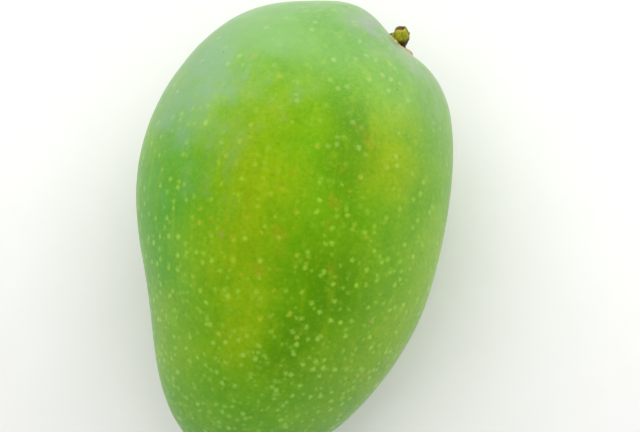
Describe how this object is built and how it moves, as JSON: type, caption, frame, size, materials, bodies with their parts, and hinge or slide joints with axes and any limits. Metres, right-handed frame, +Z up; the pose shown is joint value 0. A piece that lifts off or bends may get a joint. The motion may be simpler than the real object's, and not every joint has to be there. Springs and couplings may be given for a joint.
{
  "type": "mango",
  "caption": "Green mango as picked, with a short stub of stem, lying on its broad cheek on a small flat spot",
  "frame": {"origin": "middle of the surface that the fruit lies on, below the centre of its bounding box", "axes": "+Y runs along the fruit from its tip to its stem end, +Z is up and runs across its two cheeks, and -X is the side of the sinus and beak"},
  "size_m": [0.0846, 0.1278, 0.0735],
  "materials": {
    "skin": "satin",
    "stem": "matte"
  },
  "bodies": {
    "root": {"mango_fruit": "skin", "stem_stub": "stem"}
  },
  "joints": []
}
